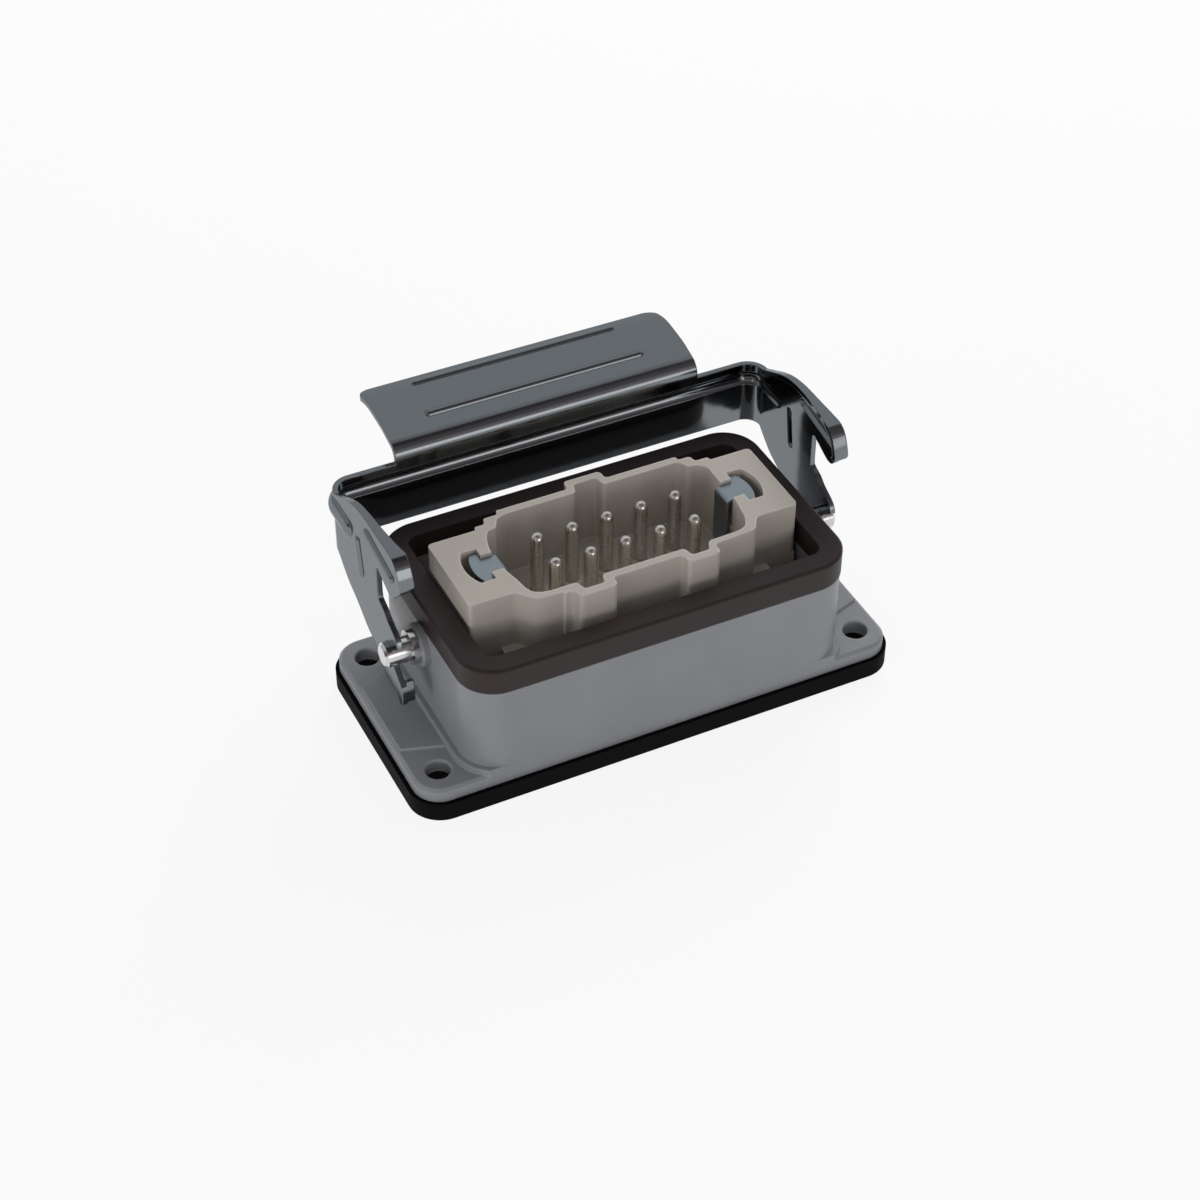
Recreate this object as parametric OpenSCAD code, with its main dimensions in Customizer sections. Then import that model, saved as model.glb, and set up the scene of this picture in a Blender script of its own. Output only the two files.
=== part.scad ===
// Heavy duty rectangular connector: bulkhead housing with a single locking lever and a
// ten-pole male insert. Millimetres, +X is the long axis, -Y the front, +Z the mating side.
// Origin: centre of the panel face, on the underside of the flange gasket.

/* [Flange] */
// Length of the flange
flange_l = 92.9; // [84:0.1:112]
// Width of the flange, which is also the width of the body
flange_w = 42.9; // [36:0.1:52]
// Thickness of the flange
flange_t = 2.6; // [2:0.1:4]
// Corner radius of the flange
flange_r = 5; // [3:0.5:8]
// Distance between the mounting holes along X
hole_x = 83; // [70:0.5:100]
// Distance between the mounting holes along Y
hole_y = 32; // [26:0.5:40]
// Diameter of the mounting holes
hole_d = 4.5; // [3.4:0.1:5.5]

/* [Gasket] */
// Thickness of the flange gasket
gasket_t = 3.7; // [1.5:0.1:5]
// How far the gasket shows past the flange
gasket_over = 0.8; // [0.2:0.1:1.5]

/* [Body] */
// Length of the body
body_l = 73.6; // [66:0.1:88]
// Corner radius of the body
body_r = 7; // [4:0.5:9]
// Height of the body's top edge above the panel
body_z = 24.5; // [22:0.1:27]
// Thickness of the body's walls
wall = 3.9; // [3.4:0.1:4.6]
// Height of the rubber rim above the body
seal_h = 5; // [4:0.1:7]

/* [Lever] */
// Thickness of the lever's sheet
lever_t = 1; // [0.8:0.05:1.3]
// Gap between the body and the lever's arms
arm_gap = 5.2; // [4.8:0.1:6]
// Gap between the body and the lever's bar
bar_gap = 4.5; // [4:0.1:6]
// Diameter of the pivot pegs
peg_d = 4.6; // [3.6:0.1:5.6]
// Height of the pivot above the panel
peg_z = 20.7; // [19:0.1:20.9]
// Radial clearance of the lever on its pegs
peg_fit = 0.06; // [0.03:0.01:0.1]
// Width of the grip
grip_w = 60; // [40:1:66]

/* [Insert] */
// Height of the insert's top above the panel
insert_z = 34.2; // [32:0.1:36]
// Pitch of the contacts along X
pitch = 6.76; // [6:0.02:7.2]
// Distance between the two rows of contacts
row = 7.52; // [6.8:0.02:8.4]
// Diameter of the contact pins
pin_d = 2.5; // [1.6:0.1:3]

/* [Hidden] */
$fn = 64;

fz0 = gasket_t;                 // flange underside
fz1 = gasket_t + flange_t;      // flange top
hl = body_l / 2;                // body half length
hw = flange_w / 2;              // body half width, flush with the flange
seal_z = body_z + seal_h;
tongue_in = 1.5;                // rim seal's outer skirt
tongue_t = 1.5;
tongue_h = 3.6;
seat_z = 9.5;                   // top of the lugs that carry the insert
plate_t = 0.8;
iflange_z = 13;                 // top of the insert's own flange
ix = 32;                        // insert flange half length
iy = 17;                        // insert flange half width
scr_x = 28.5;
scr_y = 13.5;
well_z = 20.7;                  // floor of the well round the contacts
barrel_d = 4.4;
barrel_z1 = 14;
px0 = 0.4;                      // contact pattern's offset in the insert
arm_in = hl + arm_gap;          // inner face of the lever's arms
arm_out = arm_in + lever_t;
bar_in = hw + bar_gap;          // inner face of the lever's bar
bar_out = bar_in + lever_t;
bend = 4;                       // outer radius of the lever's corner bends
bar_z0 = peg_z + 5.9;
bar_z1 = peg_z + 18.6;
bead_z = peg_z + 15.5;
bead_h = 0.9;
bead_w = 4;
boss_r = 4;
boss_h = 1.5;
collar_t = 1.3;
flange_in = 1.4;                // inward flange of the arms, beyond the sheet
e = 0.01;

// ---------- helpers ----------
module rrect(l, w, r) {
  square([l - 2 * r, w], center = true);
  square([l, w - 2 * r], center = true);
  for (x = [-1, 1], y = [-1, 1])
    translate([x * (l / 2 - r), y * (w / 2 - r)]) circle(r);
}

// straight rounded slab
module slab(l, w, r, z0, z1) {
  translate([0, 0, z0]) linear_extrude(z1 - z0) rrect(l, w, r);
}

// rounded slab that narrows by c over its height
module taper(l, w, r, z0, z1, c) {
  translate([0, (w - 2 * r) / 2, 0]) rotate([90, 0, 0]) linear_extrude(w - 2 * r)
    polygon([[-l / 2, z0], [l / 2, z0], [l / 2 - c, z1], [c - l / 2, z1]]);
  translate([-(l - 2 * r) / 2, 0, 0]) rotate([90, 0, 90]) linear_extrude(l - 2 * r)
    polygon([[-w / 2, z0], [w / 2, z0], [w / 2 - c, z1], [c - w / 2, z1]]);
  for (x = [-1, 1], y = [-1, 1])
    translate([x * (l / 2 - r), y * (w / 2 - r), z0])
      cylinder(h = z1 - z0, r1 = r, r2 = r - c);
}

// slab with a bevelled top edge
module bslab(l, w, r, z0, z1, c) {
  slab(l, w, r, z0, z1 - c);
  taper(l, w, r, z1 - c, z1, c);
}

module four(x, y) {
  for (i = [-1, 1], j = [-1, 1]) translate([i * x, j * y, 0]) children();
}

module both() {
  children();
  mirror([1, 0, 0]) children();
}

// smooth curve through points: four steps to each span
function cr(a, b, c, d, t) = 0.5 * (2 * b + (c - a) * t + (2 * a - 5 * b + 4 * c - d) * t * t
  + (3 * b - a - 3 * c + d) * t * t * t);
function smooth(p, n = 4) = let (m = len(p) - 1) [
  for (i = [0 : m - 1]) for (k = [0 : n - 1])
    cr(p[max(i - 1, 0)], p[i], p[i + 1], p[min(i + 2, m)], k / n),
  p[m]];
function rev(p) = [for (i = [len(p) - 1 : -1 : 0]) p[i]];
function nrm(v) = v / norm(v);
function left_of(v) = [-v[1], v[0]];
function shift(p, d) = let (m = len(p) - 1) [for (i = [0 : m])
  p[i] + d * left_of(nrm(p[min(i + 1, m)] - p[max(i - 1, 0)]))];
// sheet of thickness t on the left side of a path
function band(p, t) = concat(p, rev(shift(p, t)));

// extrude a (y, z) shape along X between two planes
module yz(x0, x1) {
  translate([x0, 0, 0]) rotate([90, 0, 90]) linear_extrude(x1 - x0) children();
}

// ---------- housing ----------
module foot() {
  f = 1.2;
  intersection() {
    slab(flange_l, flange_w, flange_r, fz1 - 0.5, fz1 + f);
    difference() {
      union() {
        both() translate([hl - 1, -(hw - body_r), fz1 - 0.5])
          cube([1 + f, flange_w - 2 * body_r, f + 0.5]);
        four(hl - body_r, hw - body_r) translate([0, 0, fz1 - 0.5])
          cylinder(h = f + 0.5, r = body_r + f);
      }
      both() translate([hl + f, hw - body_r, fz1 + f]) rotate([90, 0, 0])
        cylinder(h = flange_w - 2 * body_r, r = f);
      four(hl - body_r, hw - body_r) translate([0, 0, fz1 + f])
        rotate_extrude() translate([body_r + f, 0]) circle(f);
    }
  }
}

module pad() {
  k = flange_l / 2;
  difference() {
    translate([0, 0, fz1 - 0.3]) linear_extrude(0.3 + 0.4)
      polygon([[hl - 2, -11.9], [hl, -11.9], [k - 0.8, -9], [k - 0.8, 9], [hl, 11.9],
        [hl - 2, 11.9]]);
    translate([k + 0.6, -12, fz1]) rotate([0, -45, 0]) cube([2, 24, 2]);
  }
}

module housing() color([0.47, 0.49, 0.5]) {
  difference() {
    union() {
      bslab(flange_l, flange_w, flange_r, fz0, fz1, 0.6);
      bslab(body_l, flange_w, body_r, fz0, body_z, 0.35);
      foot();
      both() pad();
      // tongue that carries the rim seal
      slab(body_l - 2 * tongue_in, flange_w - 2 * tongue_in, body_r - tongue_in,
        body_z - 1, body_z + tongue_h);
      // bosses round the pegs
      both() translate([hl - 1, 0, peg_z]) rotate([0, 90, 0])
        cylinder(h = 1 + boss_h, r = boss_r);
    }
    // cavity, wide above the tongue's root and down to the panel
    slab(body_l - 2 * wall - 0.6, flange_w - 2 * wall + 0.2, 2.6, fz0 - 1, body_z + 0.2);
    slab(body_l - 2 * (tongue_in + tongue_t), flange_w - 2 * (tongue_in + tongue_t),
      body_r - tongue_in - tongue_t, body_z, body_z + tongue_h + 1);
    // mounting holes with a broken edge
    four(hole_x / 2, hole_y / 2) {
      translate([0, 0, fz0 - 1]) cylinder(h = flange_t + 2, d = hole_d);
      translate([0, 0, fz1 - 0.2]) cylinder(h = 1, r1 = hole_d / 2, r2 = hole_d / 2 + 1);
    }
    // peg seats
    both() translate([hl - 3, 0, peg_z]) rotate([0, 90, 0])
      cylinder(h = 3 + boss_h + 1, d = peg_d + 0.02);
  }
  // lugs that carry the insert
  difference() {
    for (x = [-1, 1], y = [-1, 1]) scale([x, y, 1]) lug();
    four(scr_x, scr_y) translate([0, 0, fz0 - 1]) cylinder(h = 10, d = 2.6);
  }
}

module lug() {
  lx = hl - wall - 0.3;
  ly = hw - wall + 0.1;
  difference() {
    translate([24.6, 9.9, fz0]) cube([lx - 24.6 + 0.5, ly - 9.9 + 0.5, seat_z - fz0]);
    translate([lx - 1.6, ly - 1.6, fz0 - 1]) cube([4, 4, 20]);
  }
  intersection() {
    translate([24.6, 9.9, fz0]) cube([lx - 24.6 + 0.5, ly - 9.9 + 0.5, seat_z - fz0]);
    slab(body_l - 1, flange_w - 1, body_r, fz0, seat_z);
  }
}

module flange_gasket() color([0.04, 0.04, 0.04]) {
  difference() {
    slab(flange_l + 2 * gasket_over, flange_w + 2 * gasket_over, flange_r + 1, 0, gasket_t);
    slab(body_l - 2 * wall + 1, flange_w - 2 * wall + 1.2, 3, -1, gasket_t + 1);
    four(hole_x / 2, hole_y / 2) translate([0, 0, -1]) cylinder(h = gasket_t + 2, d = hole_d);
  }
}

module rim_seal() color([0.2, 0.16, 0.16]) {
  so = 0.12;
  g = 0.04;
  difference() {
    bslab(body_l + 2 * so, flange_w + 2 * so, body_r, body_z, seal_z, 0.4);
    slab(body_l - 2 * wall - 0.9, flange_w - 2 * wall, 2.3, body_z - 1, seal_z + 1);
    difference() {
      slab(body_l - 2 * tongue_in + 2 * g, flange_w - 2 * tongue_in + 2 * g,
        body_r - tongue_in + g, body_z - 1, body_z + tongue_h + 0.1);
      slab(body_l - 2 * (tongue_in + tongue_t) - 2 * g, flange_w - 2 * (tongue_in + tongue_t)
        - 2 * g, body_r - tongue_in - tongue_t - g, body_z - 2, body_z + tongue_h + 1);
    }
  }
}

// ---------- pegs ----------
module peg() color([0.75, 0.75, 0.74]) {
  x0 = hl - 2.8;
  x1 = arm_out + 1.5;
  translate([x0, 0, peg_z]) rotate([0, 90, 0]) cylinder(h = x1 - x0 - 0.5, d = peg_d);
  translate([x1 - 0.5, 0, peg_z]) rotate([0, 90, 0])
    cylinder(h = 0.5, r1 = peg_d / 2, r2 = peg_d / 2 - 0.5);
  translate([hl + boss_h, 0, peg_z]) rotate([0, 90, 0]) cylinder(h = collar_t, d = peg_d + 1.8);
}
module pivot_peg_left() mirror([1, 0, 0]) peg();
module pivot_peg_right() peg();

// ---------- lever ----------
// y of the arm's outline follows the bar, z follows the peg
ky = (bar_out - 5) / 21.95;
function ay(y) = y <= 5 ? y : 5 + (y - 5) * ky;
function arm(p) = [for (q = p) [ay(q[0]), q[1] + peg_z]];
bend_y = bar_out - bend;        // where the corner bend starts
top_edge = arm([[22.95, 18.6], [19.4, 20.4], [16.6, 21.8], [13.7, 22.9], [10.9, 23.5],
  [8, 23.75], [3, 23.8], [-1.6, 23.85], [-3.4, 23.7], [-4.9, 22.7], [-5.9, 20.9], [-6.5, 18.9],
  [-6.1, 17.8]]);
claw = arm([[-6.1, 17.8], [-4, 15.8], [-2.8, 14.6], [-1.4, 14.5], [0.2, 15.1], [2.4, 16.1],
  [3.6, 16.5]]);
slot = arm([[4.2, 16.1], [4.25, 13], [4.2, 9.9], [3.7, 9.2], [1.8, 8.4], [0.2, 7.2],
  [-2.1, 6.1], [-3.4, 5.1], [-4.1, 3.5]]);
tail = arm([[-4.5, -3.5], [-4.9, -5.4], [-4.8, -7.8], [-4.3, -8.6], [-3.4, -8.7]]);
back = arm([[7.05, -3], [10, -2.2], [14.7, 0.6], [18.2, 2.2], [20.2, 3.6], [22.95, 5.9]]);
heel = [for (a = [-108 : 7 : -24]) [7.3 * cos(a), peg_z + 7.3 * sin(a)]];

module arm_face() {
  difference() {
    polygon(concat(smooth(top_edge), smooth(claw), smooth(slot), [[-1, peg_z + 1],
      [-1, peg_z - 1]], smooth(tail), heel, smooth(back)));
    translate([0, peg_z]) circle(peg_d / 2 + peg_fit);
    // mouth of the hook: narrower than the peg, then flared
    n = peg_d / 2 * 0.82;
    polygon([[0, peg_z + n], [-1.5, peg_z + n], [-5, peg_z + 4.6], [-9, peg_z + 4.6],
      [-9, peg_z - 4.6], [-5, peg_z - 4.6], [-1.5, peg_z - n], [0, peg_z - n]]);
  }
}

// rolled bead: outer swelling or the hollow behind it, in (offset, z)
bead_c = bead_h - (bead_w * bead_w / 4 + bead_h * bead_h) / (2 * bead_h);
bead_ro = bead_h - bead_c;
bead_ri = bead_ro - lever_t;
module bar_section() {
  difference() {
    union() {
      translate([bend - lever_t, bar_z0]) square([lever_t, bar_z1 - bar_z0]);
      intersection() {
        translate([bend + bead_c, bead_z]) circle(bead_ro);
        translate([bend - lever_t / 2, bead_z - bead_w]) square([3, 2 * bead_w]);
      }
    }
    translate([bend + bead_c, bead_z]) circle(bead_ri);
  }
}

// rounded bar along +Z from the origin, both ends domed
module capsule(l, r) {
  rotate_extrude() union() {
    square([r, l]);
    intersection() {
      union() {
        circle(r);
        translate([0, l]) circle(r);
      }
      translate([0, -r]) square([r, l + 2 * r]);
    }
  }
}

// pressed rib between two points of the arm's face
module rib(a, b, r) {
  d = b - a;
  translate([0, a[0], a[1]]) rotate([-atan2(d[0], d[1]), 0, 0]) capsule(norm(d), r);
}

// bead running forward from the corner bend
module bead(r) {
  translate([arm_out + bead_c, bead_end, bead_z]) rotate([-90, 0, 0])
    capsule(bend_y - bead_end, r);
}

grip_path = [for (q = [[0, 18], [0.02, 19.3], [0.4, 20.5], [1.25, 21.5], [2.4, 22], [3.5, 22.3],
  [6.1, 22.95], [9.8, 23.35], [12.7, 23.5], [15.3, 23.05], [18.5, 22.1]])
  [bar_in + q[0], peg_z + q[1]]];
claw_rib = arm([[8, 20.8], [-2.6, 18.9]]);
dimple = arm([[12.6, 16], [11.5, 9.3]]);
bead_end = ay(17.2);

module half_arm() {
  difference() {
    union() {
      yz(arm_in, arm_out) arm_face();
      // corner bend
      translate([arm_out - bend, bend_y, 0]) rotate_extrude(angle = 90) bar_section();
      // inward flange along the top, widest at the claw's nose
      intersection() {
        yz(arm_in - 2, arm_in + e)
          polygon(band(smooth([for (i = [1 : 12]) top_edge[i]]), lever_t));
        translate([0, 0, peg_z]) linear_extrude(30) polygon([[arm_in + 1, 19.6],
          [arm_in + e, 19.6], [arm_in - 0.3, 12], [arm_in - 0.6, 6], [arm_in - 1.2, 0],
          [arm_in - 1.7, -3], [arm_in - 1.7, -8], [arm_in + 1, -8]]);
      }
      // inward flange of the tail
      yz(arm_in - flange_in, arm_in + e)
        polygon(band(smooth([for (i = [0 : 2]) tail[i]]), lever_t));
      // rolled bead running out on the arm
      intersection() {
        bead(bead_ro);
        translate([arm_out - lever_t / 2, bead_end - 4, bead_z - 4])
          cube([4, bend_y - bead_end + 4, 8]);
      }
      intersection() {
        translate([arm_out - 0.75, 0, 0]) rib(claw_rib[0], claw_rib[1], 1.3);
        translate([arm_in + 0.3, -10, 0]) cube([4, 40, 60]);
      }
      intersection() {
        translate([arm_out - 0.55, 0, 0]) rib(dimple[0], dimple[1], 1);
        translate([arm_in + 0.3, -10, 0]) cube([4, 40, 60]);
      }
    }
    intersection() {
      bead(bead_ri);
      translate([arm_in - 3, bead_end - 4, bead_z - 4]) cube([6, bend_y - bead_end + 4, 8]);
    }
    translate([arm_in - 0.25, 0, 0]) rib(claw_rib[0], claw_rib[1], 1);
    translate([arm_in - 0.2, 0, 0]) rib(dimple[0], dimple[1], 0.85);
  }
}

module lever() color([0.55, 0.58, 0.6]) {
  both() half_arm();
  // bar
  translate([-(arm_out - bend), bar_out - bend, 0]) rotate([90, 0, 90])
    linear_extrude(2 * (arm_out - bend)) bar_section();
  // grip
  difference() {
    yz(-grip_w / 2, grip_w / 2) polygon(band(smooth(grip_path), -lever_t));
    both() translate([grip_w / 2 - 2.5, bar_in + 16, peg_z + 10]) difference() {
      cube([4, 6, 20]);
      translate([0, 0, -1]) cylinder(h = 22, r = 2.5);
    }
  }
  for (q = [[15.3, 22.75, 19.85], [6.1, 22.65, 21]])
    translate([-q[2], bar_in + q[0], peg_z + q[1]]) rotate([0, 90, 0]) capsule(2 * q[2], 0.8);
}

// ---------- insert ----------
// small radius on every corner of an outline
function soft(p, r) = let (n = len(p)) [for (i = [0 : n - 1])
  let (a = p[(i + n - 1) % n] - p[i], b = p[(i + 1) % n] - p[i], q = p[i],
    k = min(r, 0.4 * norm(a), 0.4 * norm(b)), u = nrm(a), v = nrm(b))
  each [q + k * u, q + 0.29 * k * (u + v), q + k * v]];

module outer_wall() polygon(soft([[-31.7, 8.95], [-22.4, 8.95], [-22.4, 9.8], [-20.2, 9.8],
  [-20.2, 11.3], [-17.2, 11.3], [-17.2, 12.4], [-3, 12.4], [-3, 14.6], [4.3, 14.6], [4.3, 12.4],
  [18.5, 12.4], [18.5, 11.4], [21, 11.4], [21, 9.8], [23.7, 9.8], [23.7, 8.95], [31.7, 8.95],
  [31.7, -8.95], [23.5, -8.95], [22.5, -10.6], [21.7, -11.9], [13.3, -12.4], [13.3, -14.8],
  [7, -14.8], [7, -12.6], [-6.5, -12.6], [-6.5, -14.8], [-13.6, -14.8], [-14, -12.9],
  [-15.6, -12.8], [-15.7, -12.5], [-19.2, -12.3], [-20.6, -11.9], [-21.5, -11.2], [-23.1, -9.1],
  [-31.7, -8.95]], 0.7));

module well() polygon(soft([[-20.7, 7.9], [-19, 8.1], [-18.5, 9], [-17.8, 10.3], [-15.8, 10.9],
  [-2.2, 10.9], [-1.6, 13.2], [2.9, 13.2], [3.3, 10.9], [18.3, 10.9], [19.2, 8.9],
  [21, 8.6], [22.3, 7.4], [22.3, -3.5], [21.6, -8], [20.5, -10.4], [18.6, -11],
  [12.6, -11.2], [11.9, -13.3], [8.4, -13.3], [8, -11.2], [-7.9, -11.2], [-8.2, -13.3],
  [-12.2, -13.3], [-12.6, -11.2], [-18.3, -11.2], [-20.3, -10.4], [-21.1, -8.9], [-21.5, -6.2],
  [-22.3, -2.7], [-22.4, 3.3], [-21.8, 5.7]], 0.6));

module at_pins() {
  for (i = [0 : 4], j = [-1, 1]) translate([px0 + (i - 2) * pitch, j * row / 2, 0]) children();
}

module slot_t() {
  intersection() {
    translate([22.2, -4.3]) square([7, 8.6]);
    translate([20.3, 0]) circle(8.25);
    translate([24.5, -5]) square([5, 10]);
  }
  translate([22, -2.4]) square([3, 4.8]);
}

module insert_body() color([0.58, 0.56, 0.53]) {
  difference() {
    union() {
      // terminal block
      translate([-24, -12.4, 0.8]) cube([48, 24.8, 12]);
      // base round the well, with its ledge
      translate([-26, -11.9, 12]) cube([52, 23.8, 10.6]);
      translate([-31.7, -8.95, 10.3]) cube([63.4, 17.9, 13]);
      // mounting flange
      slab(2 * ix, 2 * iy, 1.5, seat_z + plate_t, iflange_z);
      translate([-24, -iy, seat_z]) cube([48, 2 * iy, 2]);
      // mating face
      translate([0, 0, 20]) linear_extrude(insert_z - 20) outer_wall();
    }
    difference() {
      translate([0, 0, well_z]) linear_extrude(20) well();
      // raised rings at the feet of the pins
      at_pins() translate([0, 0, well_z - 1]) {
        cylinder(h = 1.4, d = pin_d + 1.8);
        translate([0, 0, 1.4]) cylinder(h = 0.3, d1 = pin_d + 1.8, d2 = pin_d + 1.2);
      }
    }
    at_pins() {
      translate([0, 0, -1]) cylinder(h = barrel_z1 + 1, d = barrel_d + 0.1);
      cylinder(h = 30, d = pin_d + 0.06);
    }
    // screwdriver openings to the terminals
    for (i = [0 : 4], j = [-1, 1])
      translate([px0 + (i - 2) * pitch, j * (row / 2 + 1), 5.6]) rotate([-90 * j, 0, 0])
        cylinder(h = 12, d = 3.6);
    // earth spring slots
    both() {
      translate([0, 0, insert_z - 7]) linear_extrude(8) slot_t();
      translate([24.9, -2.1, seat_z]) cube([1, 4.2, 30]);
    }
    four(scr_x, scr_y) translate([0, 0, 5]) cylinder(h = 12, d = 3.3);
    // side reliefs of the mounting flange
    for (x = [-15, 0, 15], y = [-1, 1]) translate([x - 3, y * (iy - 0.2) - 0.9, 5])
      cube([6, 1.8, 12]);
  }
}

// ---------- contacts ----------
module contact(n) color([0.78, 0.78, 0.76]) {
  i = (n - 1) % 5;
  j = n <= 5 ? 1 : -1;
  translate([px0 + (i - 2) * pitch, j * row / 2, 0]) {
    translate([0, 0, 13.5]) cylinder(h = insert_z - 0.2 - pin_d / 2 - 13.5, d = pin_d);
    translate([0, 0, insert_z - 0.2 - pin_d / 2]) sphere(d = pin_d);
    difference() {
      translate([0, 0, 1.8]) cylinder(h = barrel_z1 - 1.8, d = barrel_d);
      translate([0, 0, 1]) cylinder(h = 9, d = 2.6);
      translate([0, 0, 5.6]) rotate([-90 * j, 0, 0]) cylinder(h = 4, d = 2.96);
    }
  }
}
module contact_01() contact(1);
module contact_02() contact(2);
module contact_03() contact(3);
module contact_04() contact(4);
module contact_05() contact(5);
module contact_06() contact(6);
module contact_07() contact(7);
module contact_08() contact(8);
module contact_09() contact(9);
module contact_10() contact(10);

module terminal_screws() color([0.7, 0.7, 0.7]) {
  for (i = [0 : 4], j = [-1, 1])
    translate([px0 + (i - 2) * pitch, j * (row / 2 + 0.6), 5.6]) rotate([-90 * j, 0, 0])
      difference() {
        cylinder(h = 3.4, d = 2.94);
        translate([-2, -0.3, 2.7]) cube([4, 0.6, 2]);
      }
}

// ---------- earthing ----------
module spring() color([0.66, 0.7, 0.72]) {
  z1 = insert_z - 0.7;
  s = 0.5;
  // head of the strip in its slot
  intersection() {
    translate([24.6, -4.1, z1 - s]) cube([4, 8.2, s]);
    translate([18.9, 0, z1 - 2]) cylinder(h = 4, r = 8.1);
  }
  // neck folded over the edge of the well and down its wall
  translate([22.1, -2.2, z1 - s]) cube([3, 4.4, s]);
  translate([22.1, 2.2, z1 - 1]) rotate([90, 0, 0]) intersection() {
    difference() {
      cylinder(h = 4.4, r = 1);
      translate([0, 0, -1]) cylinder(h = 7, r = 1 - s);
    }
    translate([-1.5, 0, 0]) cube([1.5, 1.5, 4.4]);
  }
  translate([21.1, -2.2, 22.5]) cube([s, 4.4, z1 - 1 - 22.5]);
  // leg down to the earth plate
  translate([25.1, -2, seat_z + plate_t]) cube([0.6, 4, z1 - s - seat_z - plate_t + 0.1]);
}
module earth_spring_left() mirror([1, 0, 0]) spring();
module earth_spring_right() spring();

module earth_plate() color([0.7, 0.7, 0.66]) {
  difference() {
    union() {
      translate([24.4, -iy + 0.3, seat_z]) cube([ix - 24.6, 2 * iy - 0.6, plate_t]);
      translate([28.2, 0, 5.6]) cylinder(h = seat_z - 5.6 + 0.3, d = 7);
    }
    for (y = [-1, 1]) translate([scr_x, y * scr_y, seat_z - 1]) cylinder(h = 3, d = 3.3);
    translate([28.2, 0, 4]) cylinder(h = 6, d = 4.04);
  }
}
module earth_plate_left() mirror([1, 0, 0]) earth_plate();
module earth_plate_right() earth_plate();

module earth_screws() color([0.7, 0.7, 0.7]) {
  both() translate([28.2, 0, 0]) difference() {
    union() {
      translate([0, 0, 3.2]) cylinder(h = 2.4, d = 7);
      translate([0, 0, 4]) cylinder(h = 5.4, d = 4);
    }
    for (a = [0, 90]) rotate([0, 0, a]) translate([-1.9, -0.4, 3]) cube([3.8, 0.8, 1.4]);
  }
}

module insert_screws() color([0.7, 0.7, 0.7]) {
  four(scr_x, scr_y) difference() {
    union() {
      translate([0, 0, iflange_z]) cylinder(h = 2, d = 5.4);
      translate([0, 0, 4.6]) cylinder(h = iflange_z - 4.6 + 0.5, d = 2.56);
    }
    for (a = [0, 90]) rotate([0, 0, a])
      translate([-1.5, -0.35, iflange_z + 0.9]) cube([3, 0.7, 2]);
  }
}

// ---------- what is drawn ----------
housing();
flange_gasket();
rim_seal();
lever();
pivot_peg_left();
pivot_peg_right();
insert_body();
contact_01();
contact_02();
contact_03();
contact_04();
contact_05();
contact_06();
contact_07();
contact_08();
contact_09();
contact_10();
terminal_screws();
earth_spring_left();
earth_spring_right();
earth_plate_left();
earth_plate_right();
earth_screws();
insert_screws();
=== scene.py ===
# Heavy duty rectangular connector: finishes, floor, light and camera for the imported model.
import math

import bpy
from mathutils import Matrix, Vector

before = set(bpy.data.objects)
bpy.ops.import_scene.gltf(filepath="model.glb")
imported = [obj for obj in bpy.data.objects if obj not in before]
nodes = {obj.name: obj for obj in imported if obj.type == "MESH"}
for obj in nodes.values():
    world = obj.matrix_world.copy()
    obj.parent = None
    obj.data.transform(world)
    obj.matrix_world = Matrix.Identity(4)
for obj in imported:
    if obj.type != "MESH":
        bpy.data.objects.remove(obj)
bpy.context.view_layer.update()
MM = 0.001


# ---------- colour and node helpers ----------
def linear(code):
    """sRGB hex to the linear colour the shader wants."""
    out = []
    for i in (1, 3, 5):
        c = int(code[i:i + 2], 16) / 255
        out.append(c / 12.92 if c <= 0.04045 else ((c + 0.055) / 1.055) ** 2.4)
    return (*out, 1.0)


def add(tree, kind, settings=None, **links):
    """Adds a node. settings are its properties or socket values, links join its inputs."""
    n = tree.nodes.new(kind)
    for key, value in (settings or {}).items():
        if isinstance(key, int) or key in n.inputs:
            n.inputs[key].default_value = value
        else:
            setattr(n, key, value)
    for key, source in links.items():
        slot = int(key[1:]) if key[0] == "i" and key[1:].isdigit() else key.replace("_", " ")
        tree.links.new(source, n.inputs[slot])
    return n


def finish(name, **sockets):
    """A new material with its shader's plain values set, and what is needed to go on from there."""
    m = bpy.data.materials.new(name)
    m.use_nodes = True
    t = m.node_tree
    t.nodes.clear()
    out = add(t, "ShaderNodeOutputMaterial")
    shader = add(t, "ShaderNodeBsdfPrincipled")
    for key, value in sockets.items():
        shader.inputs[key.replace("_", " ")].default_value = value
    t.links.new(shader.outputs[0], out.inputs[0])
    place = add(t, "ShaderNodeTexCoord").outputs["Object"]
    return m, t, shader, place


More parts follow.
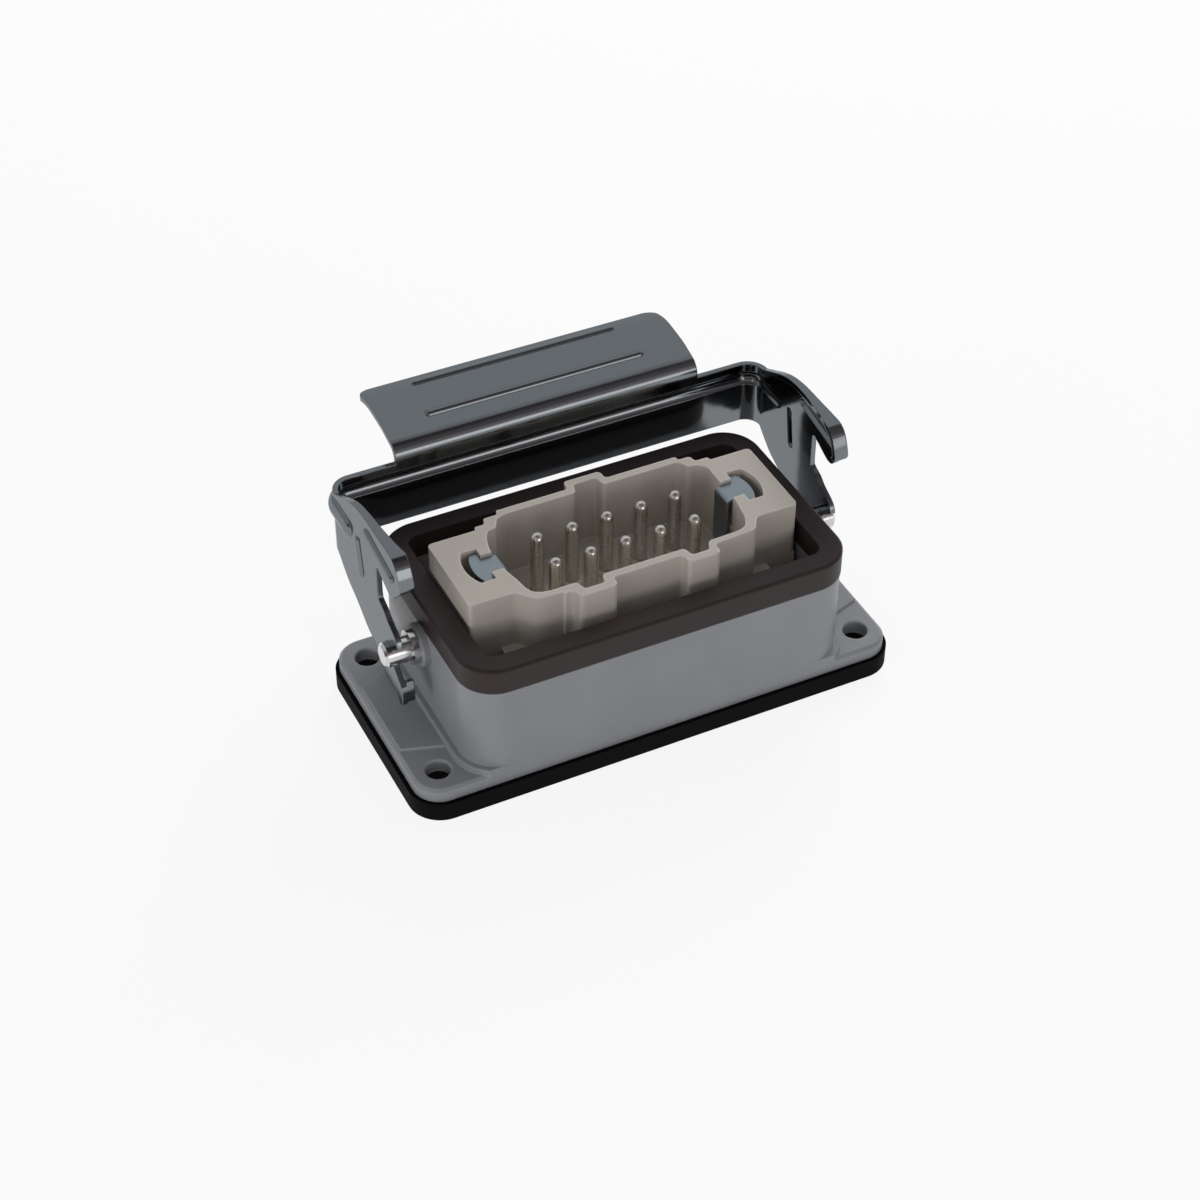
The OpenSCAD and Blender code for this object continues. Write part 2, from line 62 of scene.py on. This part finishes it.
# Satin polyester powder coat on die-cast aluminium. The coat flows into a faint orange peel about
# 0.6 mm across and is a touch glossier where it is thin; a paler band along its edges is a painted
# highlight.
def powder_coat():
    m, t, s, p = finish("powder_coated_aluminium", Roughness=0.4, Specular_IOR_Level=0.5)
    peel = add(t, "ShaderNodeTexNoise", {"Scale": 1700, "Detail": 2.0, "Roughness": 0.5}, Vector=p)
    cloud = add(t, "ShaderNodeTexNoise", {"Scale": 90, "Detail": 3.0}, Vector=p)
    tone = add(t, "ShaderNodeValToRGB", i0=cloud.outputs["Fac"])
    tone.color_ramp.elements[0].position = 0.3
    tone.color_ramp.elements[0].color = linear("#8A8C91")
    tone.color_ramp.elements[1].position = 0.7
    tone.color_ramp.elements[1].color = linear("#919397")
    gloss = add(t, "ShaderNodeMapRange", {"To Min": 0.36, "To Max": 0.46}, i0=cloud.outputs["Fac"])
    t.links.new(gloss.outputs[0], s.inputs["Roughness"])
    bump = add(t, "ShaderNodeBump", {"Strength": 0.12, "Distance": 0.0002}, Height=peel.outputs["Fac"])
    # painted highlight: the mask marks a band along the edges, where the colour is mixed paler
    painted_edge_highlight, normal = soft_edge(t, bump.outputs[0], 0.0005, 0.0007)
    mix = add(t, "ShaderNodeMix", {"data_type": "RGBA"}, i0=painted_edge_highlight, i6=tone.outputs[0])
    mix.inputs[7].default_value = linear("#A1A4A6")
    t.links.new(mix.outputs[2], s.inputs["Base Color"])
    t.links.new(normal, s.inputs["Normal"])
    return m


def soft_edge(t, normal, radius, band):
    """Rounds sharp edges in the shading, and gives a mask of a band along them."""
    bevel = add(t, "ShaderNodeBevel", {"samples": 6, "Radius": radius})
    if normal is not None:
        t.links.new(normal, bevel.inputs["Normal"])
    wide = add(t, "ShaderNodeBevel", {"samples": 6, "Radius": band})
    flat = add(t, "ShaderNodeNewGeometry")
    dot = add(t, "ShaderNodeVectorMath", {"operation": "DOT_PRODUCT"}, i0=wide.outputs[0],
              i1=flat.outputs["True Normal"])
    mask = add(t, "ShaderNodeMapRange", {"From Min": 0.99, "From Max": 0.86}, i0=dot.outputs["Value"])
    return mask.outputs[0], bevel.outputs[0]


# Matt black sheet rubber: very dark, with a dusty fine grain.
def sheet_rubber():
    m, t, s, p = finish("black_sheet_rubber", Roughness=0.75, Specular_IOR_Level=0.08)
    grain = add(t, "ShaderNodeTexNoise", {"Scale": 1400, "Detail": 2.0}, Vector=p)
    tone = add(t, "ShaderNodeMix", {"data_type": "RGBA"}, i0=grain.outputs["Fac"])
    tone.inputs[6].default_value = linear("#020303")
    tone.inputs[7].default_value = linear("#080909")
    t.links.new(tone.outputs[2], s.inputs["Base Color"])
    bump = add(t, "ShaderNodeBump", {"Strength": 0.2, "Distance": 0.0001}, Height=grain.outputs["Fac"])
    t.links.new(bump.outputs[0], s.inputs["Normal"])
    return m


# Moulded nitrile rubber: one brown-black all over, with a soft sheen and a fine grain.
def moulded_rubber():
    m, t, s, p = finish("moulded_nitrile_rubber", Roughness=0.5, Specular_IOR_Level=0.3)
    grain = add(t, "ShaderNodeTexNoise", {"Scale": 1200, "Detail": 2.0}, Vector=p)
    bloom = add(t, "ShaderNodeTexNoise", {"Scale": 120, "Detail": 4.0}, Vector=p)
    tone = add(t, "ShaderNodeMix", {"data_type": "RGBA"}, i0=bloom.outputs["Fac"])
    tone.inputs[6].default_value = linear("#2E2424")
    tone.inputs[7].default_value = linear("#2E2424")
    t.links.new(tone.outputs[2], s.inputs["Base Color"])
    bump = add(t, "ShaderNodeBump", {"Strength": 0.15, "Distance": 0.0001}, Height=grain.outputs["Fac"])
    _, normal = soft_edge(t, bump.outputs[0], 0.0004, 0.0004)
    t.links.new(normal, s.inputs["Normal"])
    return m


# Polished stainless sheet: a mirror with very fine drawn lines along its length and the faint
# waviness that pressing leaves.
def stainless():
    m, t, s, p = finish("polished_stainless_sheet", Metallic=1.0, Roughness=0.12)
    s.inputs["Base Color"].default_value = linear("#777B7E")
    s.inputs["Specular Tint"].default_value = linear("#D8DADC")
    stretch = add(t, "ShaderNodeMapping", {"Scale": (60, 2600, 2600)}, Vector=p)
    lines = add(t, "ShaderNodeTexNoise", {"Scale": 1.0, "Detail": 2.0}, Vector=stretch.outputs[0])
    wave = add(t, "ShaderNodeTexNoise", {"Scale": 160, "Detail": 1.0}, Vector=p)
    rough = add(t, "ShaderNodeMapRange", {"To Min": 0.08, "To Max": 0.15}, i0=lines.outputs["Fac"])
    t.links.new(rough.outputs[0], s.inputs["Roughness"])
    b1 = add(t, "ShaderNodeBump", {"Strength": 0.06, "Distance": 0.00004}, Height=lines.outputs["Fac"])
    b2 = add(t, "ShaderNodeBump", {"Strength": 0.1, "Distance": 0.0003}, Height=wave.outputs["Fac"],
             Normal=b1.outputs[0])
    _, normal = soft_edge(t, b2.outputs[0], 0.0003, 0.0003)
    t.links.new(normal, s.inputs["Normal"])
    return m


# Glass-filled polycarbonate: light warm grey, with a fine spark-eroded grain; its paler edges are a
# painted highlight.
def moulded_plastic():
    m, t, s, p = finish("moulded_polycarbonate", Roughness=0.48, Specular_IOR_Level=0.5)
    grain = add(t, "ShaderNodeTexNoise", {"Scale": 2200, "Detail": 2.0}, Vector=p)
    flow = add(t, "ShaderNodeTexNoise", {"Scale": 70, "Detail": 4.0, "Distortion": 0.4}, Vector=p)
    tone = add(t, "ShaderNodeMix", {"data_type": "RGBA"}, i0=flow.outputs["Fac"])
    tone.inputs[6].default_value = linear("#B9B2A9")
    tone.inputs[7].default_value = linear("#C3BBB2")
    bump = add(t, "ShaderNodeBump", {"Strength": 0.12, "Distance": 0.0001}, Height=grain.outputs["Fac"])
    # painted highlight: the mask marks a band along the edges, where the colour is mixed paler
    painted_edge_highlight, normal = soft_edge(t, bump.outputs[0], 0.0003, 0.0006)
    mix = add(t, "ShaderNodeMix", {"data_type": "RGBA"}, i0=painted_edge_highlight, i6=tone.outputs[2])
    mix.inputs[7].default_value = linear("#DBD8D0")
    t.links.new(mix.outputs[2], s.inputs["Base Color"])
    t.links.new(normal, s.inputs["Normal"])
    return m


# Turned and plated metals: a fine tool grain, and slow changes of brightness and gloss.
GRAIN = 2400                    # cells a metre, about 0.4 mm each


def turned(name, code, rough):
    m, t, s, p = finish(name, Metallic=1.0, Roughness=rough)
    grain = add(t, "ShaderNodeTexNoise", {"Scale": GRAIN, "Detail": 1.0}, Vector=p)
    cloud = add(t, "ShaderNodeTexNoise", {"Scale": 300, "Detail": 3.0}, Vector=p)
    tone = add(t, "ShaderNodeMix", {"data_type": "RGBA"}, i0=cloud.outputs["Fac"])
    tone.inputs[6].default_value = [0.86 * c for c in linear(code)[:3]] + [1]
    tone.inputs[7].default_value = linear(code)
    t.links.new(tone.outputs[2], s.inputs["Base Color"])
    spread = add(t, "ShaderNodeMapRange", {"To Min": rough * 0.8, "To Max": rough * 1.3},
                 i0=cloud.outputs["Fac"])
    t.links.new(spread.outputs[0], s.inputs["Roughness"])
    bump = add(t, "ShaderNodeBump", {"Strength": 0.06, "Distance": 0.00005}, Height=grain.outputs["Fac"])
    t.links.new(bump.outputs[0], s.inputs["Normal"])
    return m


coat = powder_coat()
gasket = sheet_rubber()
seal = moulded_rubber()
steel = stainless()
plastic = moulded_plastic()
silver = turned("silver_plated_contact", "#DEDBD3", 0.26)
peg_steel = turned("turned_stainless_peg", "#D2D3D2", 0.14)
tinned = turned("tinned_spring_strip", "#98A2A8", 0.3)
zinc = turned("zinc_plated_steel", "#C4C4BC", 0.32)

FINISH = {"housing": coat, "flange_gasket": gasket, "rim_seal": seal, "lever": steel,
          "pivot_peg_left": peg_steel, "pivot_peg_right": peg_steel, "insert_body": plastic,
          "terminal_screws": zinc, "earth_spring_left": tinned, "earth_spring_right": tinned,
          "earth_plate_left": zinc, "earth_plate_right": zinc, "earth_screws": zinc,
          "insert_screws": zinc}
for name, o in nodes.items():
    o.data.materials.clear()
    o.data.materials.append(FINISH.get(name, silver))


# ---------- floor, light and camera ----------
def place(name, data, at, turn=(0, 0, 0)):
    o = bpy.data.objects.new(name, data)
    o.location = at
    o.rotation_euler = turn
    bpy.context.scene.collection.objects.link(o)
    return o


floor_mesh = bpy.data.meshes.new("floor")
reach = 3.0                     # half the side of the paper on the floor
floor_mesh.from_pydata([(-reach, -reach, 0), (reach, -reach, 0), (reach, reach, 0),
                        (-reach, reach, 0)], [], [(0, 1, 2, 3)])
floor = place("floor", floor_mesh, (0, 0, -0.2 * MM))
paper = bpy.data.materials.new("white_paper")
paper.use_nodes = True
pt = paper.node_tree
pt.nodes.clear()
matt = add(pt, "ShaderNodeBsdfDiffuse", {"Color": (0.9, 0.9, 0.9, 1)})
glow = add(pt, "ShaderNodeEmission", {"Color": (1, 1, 1, 1), "Strength": 1.0})
ray = add(pt, "ShaderNodeLightPath")
seen = add(pt, "ShaderNodeMath", {"operation": "MAXIMUM"}, i0=ray.outputs["Is Camera Ray"],
           i1=ray.outputs["Is Glossy Ray"])
seen = add(pt, "ShaderNodeMath", {"operation": "MAXIMUM"}, i0=seen.outputs[0],
           i1=ray.outputs["Is Transmission Ray"])
share = add(pt, "ShaderNodeMath", {"operation": "MULTIPLY", 1: 0.88}, i0=seen.outputs[0])
both = add(pt, "ShaderNodeMixShader", None, i0=share.outputs[0], i1=matt.outputs[0], i2=glow.outputs[0])
add(pt, "ShaderNodeOutputMaterial", None, i0=both.outputs[0])
floor_mesh.materials.append(paper)

world = bpy.data.worlds.new("studio")
bpy.context.scene.world = world
world.use_nodes = True
wt = world.node_tree
wt.nodes.clear()
wpos = add(wt, "ShaderNodeTexCoord")
split = add(wt, "ShaderNodeSeparateXYZ", None, i0=wpos.outputs["Generated"])
# What polished metal sees: the pale backdrop behind, and towards the front a dark studio with one
# soft warm band of light half way up.
band = add(wt, "ShaderNodeValToRGB", None, i0=split.outputs["Z"])
band.color_ramp.elements[0].position = 0.0
band.color_ramp.elements[0].color = linear("#6E6462")
band.color_ramp.elements[1].position = 1.0
band.color_ramp.elements[1].color = linear("#43393A")
for at, shade in ((0.3, "#7A6F6D"), (0.5, "#C4B6B4"), (0.66, "#868386"), (0.86, "#7A7475")):
    band.color_ramp.elements.new(at).color = linear(shade)
behind = add(wt, "ShaderNodeMapRange", {"From Min": 0.1, "From Max": 0.26,
                                         "interpolation_type": "SMOOTHSTEP"}, i0=split.outputs["Y"])
seen_by_metal = add(wt, "ShaderNodeMix", {"data_type": "RGBA"}, i0=behind.outputs[0], i6=band.outputs[0])
seen_by_metal.inputs[7].default_value = linear("#C4C7CA")
soft = add(wt, "ShaderNodeBackground", {"Color": (0.62, 0.62, 0.63, 1), "Strength": 0.5})
mirror = add(wt, "ShaderNodeBackground", {"Strength": 1.0}, i0=seen_by_metal.outputs[2])
white = add(wt, "ShaderNodeBackground", {"Color": (1, 1, 1, 1), "Strength": 1.0})
wray = add(wt, "ShaderNodeLightPath")
gmix = add(wt, "ShaderNodeMixShader", None, i0=wray.outputs["Is Glossy Ray"], i1=soft.outputs[0],
           i2=mirror.outputs[0])
plain = add(wt, "ShaderNodeMath", {"operation": "MAXIMUM"}, i0=wray.outputs["Is Camera Ray"],
            i1=wray.outputs["Is Transmission Ray"])
wmix = add(wt, "ShaderNodeMixShader", None, i0=plain.outputs[0], i1=gmix.outputs[0], i2=white.outputs[0])
add(wt, "ShaderNodeOutputWorld", None, i0=wmix.outputs[0])


LIT_POINT = Vector((0, 0, 0.02))    # the lamps look at the middle of the housing


def lamp(name, at, size, watts, mirrored=True):
    data = bpy.data.lights.new(name, "AREA")
    data.shape = "RECTANGLE"
    data.size, data.size_y = size
    data.energy = watts
    way = LIT_POINT - Vector(at)
    o = place(name, data, at, way.to_track_quat("-Z", "Y").to_euler())
    o.visible_glossy = mirrored


lamp("back_panel", (0.62, 0.66, 0.66), (1.5, 1.5), 0.95)
lamp("back_key", (0.45, 0.5, 0.5), (0.4, 0.4), 3.5, mirrored=False)
lamp("left_low", (-0.7, -0.2, 0.22), (0.4, 0.3), 0.75, mirrored=False)
lamp("left_lower", (-0.75, -0.25, 0.08), (0.4, 0.15), 0.7, mirrored=False)
lamp("front_low", (0.15, -0.75, 0.2), (0.5, 0.3), 0.95)
lamp("strip_left", (-0.55, -0.35, 0.35), (0.03, 0.5), 0.1)


# the camera looks down at the front left corner; right and up move it beside its aim
AZ, EL, ROLL = math.radians(-26.52), math.radians(40.85), math.radians(0.46)
SENSOR = 36
LENS_RATIO = 2554.96 / 1200     # focal length over sensor width
DISTANCE, BESIDE, ABOVE = 0.45848, -2.35 * MM, 1.28 * MM
aim = Vector((0, 0, 0.015))
away = Vector((math.sin(AZ) * math.cos(EL), -math.cos(AZ) * math.cos(EL), math.sin(EL)))
right = Vector((math.cos(AZ), math.sin(AZ), 0))
up = away.cross(right)
R = math.cos(ROLL) * right + math.sin(ROLL) * up
U = -math.sin(ROLL) * right + math.cos(ROLL) * up
cam_data = bpy.data.cameras.new("camera")
cam = bpy.data.objects.new("camera", cam_data)
bpy.context.scene.collection.objects.link(cam)
cam_data.sensor_width = SENSOR
cam_data.lens = LENS_RATIO * SENSOR
cam_data.clip_start = 0.01
spot = aim + away * DISTANCE + R * BESIDE + U * ABOVE
cam.matrix_world = Matrix(((R.x, U.x, away.x, spot.x), (R.y, U.y, away.y, spot.y),
                           (R.z, U.z, away.z, spot.z), (0, 0, 0, 1)))
bpy.context.scene.camera = cam
bpy.context.scene.view_settings.view_transform = "Standard"
